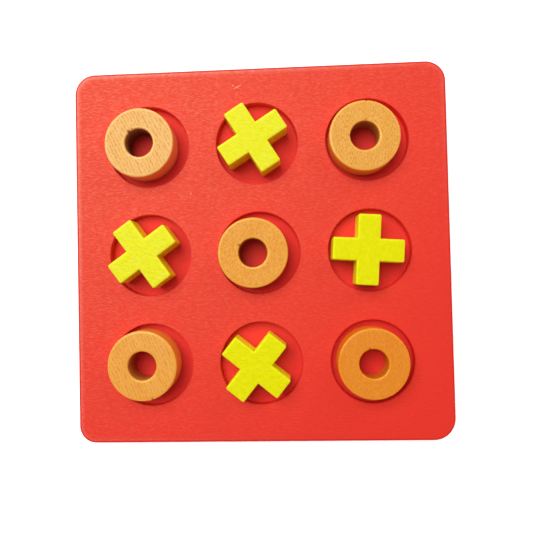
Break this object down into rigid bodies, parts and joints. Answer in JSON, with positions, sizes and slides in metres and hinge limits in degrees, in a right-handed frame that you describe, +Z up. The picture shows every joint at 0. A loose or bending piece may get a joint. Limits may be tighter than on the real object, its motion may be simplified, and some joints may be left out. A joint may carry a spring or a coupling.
{
  "type": "noughts and crosses board game set",
  "caption": "Square wooden noughts-and-crosses board with round recesses that hold loose turned rings and crosses.",
  "frame": {"origin": "middle of the board's underside", "axes": "+X to the right and +Y to the far side of the board as the player sees it, +Z up"},
  "size_m": [0.18, 0.18, 0.0183],
  "materials": {
    "red_stained_wood": "orange-red stain and thin satin lacquer over fine straight grain",
    "pale_wood": "natural light hardwood with small flecks, thin clear satin coat",
    "yellow_painted_wood": "thin lemon-yellow satin paint, laminations faintly visible on the sawn sides"
  },
  "bodies": {
    "board": {"board_base_panel": "red_stained_wood", "board_top_panel": "red_stained_wood"},
    "nought_top_left_piece": {"nought_top_left": "pale_wood"},
    "nought_top_right_piece": {"nought_top_right": "pale_wood"},
    "nought_centre_piece": {"nought_centre": "pale_wood"},
    "nought_bottom_left_piece": {"nought_bottom_left": "pale_wood"},
    "nought_bottom_right_piece": {"nought_bottom_right": "pale_wood"},
    "cross_top_piece": {"cross_top": "yellow_painted_wood"},
    "cross_left_piece": {"cross_left": "yellow_painted_wood"},
    "cross_right_piece": {"cross_right": "yellow_painted_wood"},
    "cross_bottom_piece": {"cross_bottom": "yellow_painted_wood"}
  },
  "joints": [
    {"name": "nought_top_left_lift", "type": "slide", "parent": "board", "child": "nought_top_left_piece", "axis": [0, 0, 1], "range_m": [0, 0.02]},
    {"name": "nought_top_right_lift", "type": "slide", "parent": "board", "child": "nought_top_right_piece", "axis": [0, 0, 1], "range_m": [0, 0.02]},
    {"name": "nought_centre_lift", "type": "slide", "parent": "board", "child": "nought_centre_piece", "axis": [0, 0, 1], "range_m": [0, 0.02]},
    {"name": "nought_bottom_left_lift", "type": "slide", "parent": "board", "child": "nought_bottom_left_piece", "axis": [0, 0, 1], "range_m": [0, 0.02]},
    {"name": "nought_bottom_right_lift", "type": "slide", "parent": "board", "child": "nought_bottom_right_piece", "axis": [0, 0, 1], "range_m": [0, 0.02]},
    {"name": "cross_top_lift", "type": "slide", "parent": "board", "child": "cross_top_piece", "axis": [0, 0, 1], "range_m": [0, 0.02]},
    {"name": "cross_left_lift", "type": "slide", "parent": "board", "child": "cross_left_piece", "axis": [0, 0, 1], "range_m": [0, 0.02]},
    {"name": "cross_right_lift", "type": "slide", "parent": "board", "child": "cross_right_piece", "axis": [0, 0, 1], "range_m": [0, 0.02]},
    {"name": "cross_bottom_lift", "type": "slide", "parent": "board", "child": "cross_bottom_piece", "axis": [0, 0, 1], "range_m": [0, 0.02]}
  ]
}
